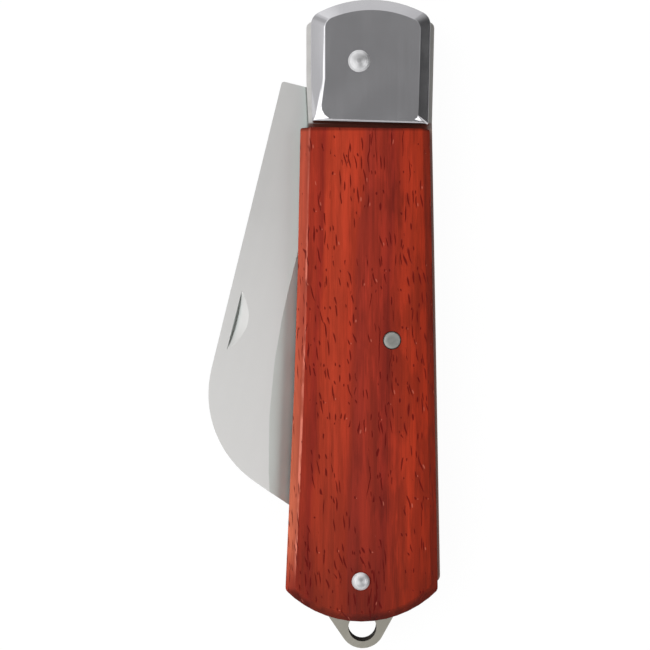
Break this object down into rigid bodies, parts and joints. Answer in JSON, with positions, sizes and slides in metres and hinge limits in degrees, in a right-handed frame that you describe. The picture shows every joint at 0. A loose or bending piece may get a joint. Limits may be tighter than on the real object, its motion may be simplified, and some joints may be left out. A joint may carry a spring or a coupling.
{
  "type": "folding electrician knife",
  "caption": "Folding electrician's knife, closed: a broad blade with a rounded end and hooked edge folds out between steel liners, bolsters and wooden scales, with a lanyard eye at the butt.",
  "frame": {"origin": "under the middle of the closed knife's bounding box, on the surface it lies on", "axes": "+Y from the butt and its lanyard eye to the bolsters at the head, +X from the blade's spine to the handle's back, +Z out of the front face, which has the nail nick"},
  "size_m": [0.0436, 0.121, 0.0164],
  "materials": {
    "blade_steel": "fine satin, ground across the bevel",
    "spring_steel": "dull satin, tumbled at the lanyard eye",
    "liner_steel": "dull satin with darker cut edges",
    "bolster_steel": "satin face with brighter polished bevels",
    "scale_wood": "oiled red hardwood with dark open pores along the grain",
    "rivet_nickel": "nickel plated, domed and bright",
    "pin_steel": "plain steel, filed flush and dull"
  },
  "bodies": {
    "handle": {"backspring": "spring_steel", "front_liner": "liner_steel", "rear_liner": "liner_steel", "front_bolster": "bolster_steel", "rear_bolster": "bolster_steel", "front_scale": "scale_wood", "rear_scale": "scale_wood", "pivot_pin": "rivet_nickel", "butt_pin": "rivet_nickel", "spring_pin": "pin_steel", "front_slot_stud": "pin_steel", "front_back_stud": "pin_steel", "rear_slot_stud": "pin_steel", "rear_back_stud": "pin_steel"},
    "blade": {"blade": "blade_steel"}
  },
  "joints": [
    {"name": "blade_pivot", "type": "hinge", "parent": "handle", "child": "blade", "pos_m": [0.00637, 0.04899, 0.0082], "axis": [0, 0, -1], "range_deg": [0, 166.1]}
  ]
}
